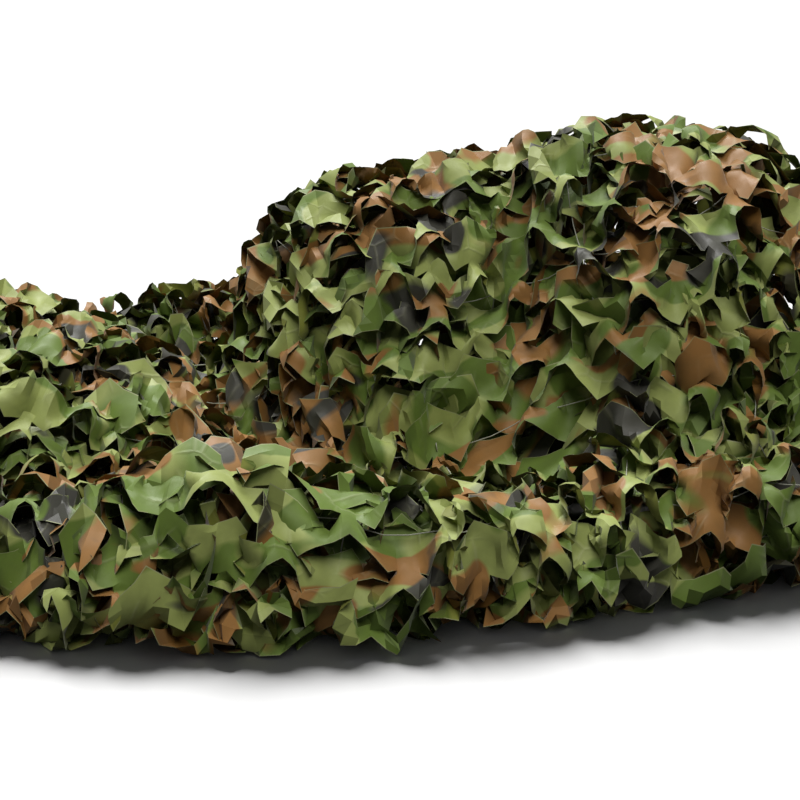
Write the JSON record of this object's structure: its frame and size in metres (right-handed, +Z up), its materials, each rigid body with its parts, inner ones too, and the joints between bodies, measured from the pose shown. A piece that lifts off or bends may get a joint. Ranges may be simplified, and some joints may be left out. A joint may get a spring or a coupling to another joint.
{
  "type": "camouflage net",
  "caption": "Woodland camouflage net of leaf-cut cloth tied to a mesh of thin cord, lying in a loose folded heap.",
  "frame": {"origin": "centre of the heap's footprint, on the surface that it lies on", "axes": "+Z up, +X along the heap towards its mound, -Y towards its front hem"},
  "size_m": [1.2429, 0.8472, 0.3651],
  "materials": {
    "leaf_cloth": "satin woven polyester, printed in four woodland colours",
    "net_cord": "dull pale grey twisted cord"
  },
  "bodies": {
    "root": {"leaf_cut_cloth": "leaf_cloth", "backing_net": "net_cord"}
  },
  "joints": []
}
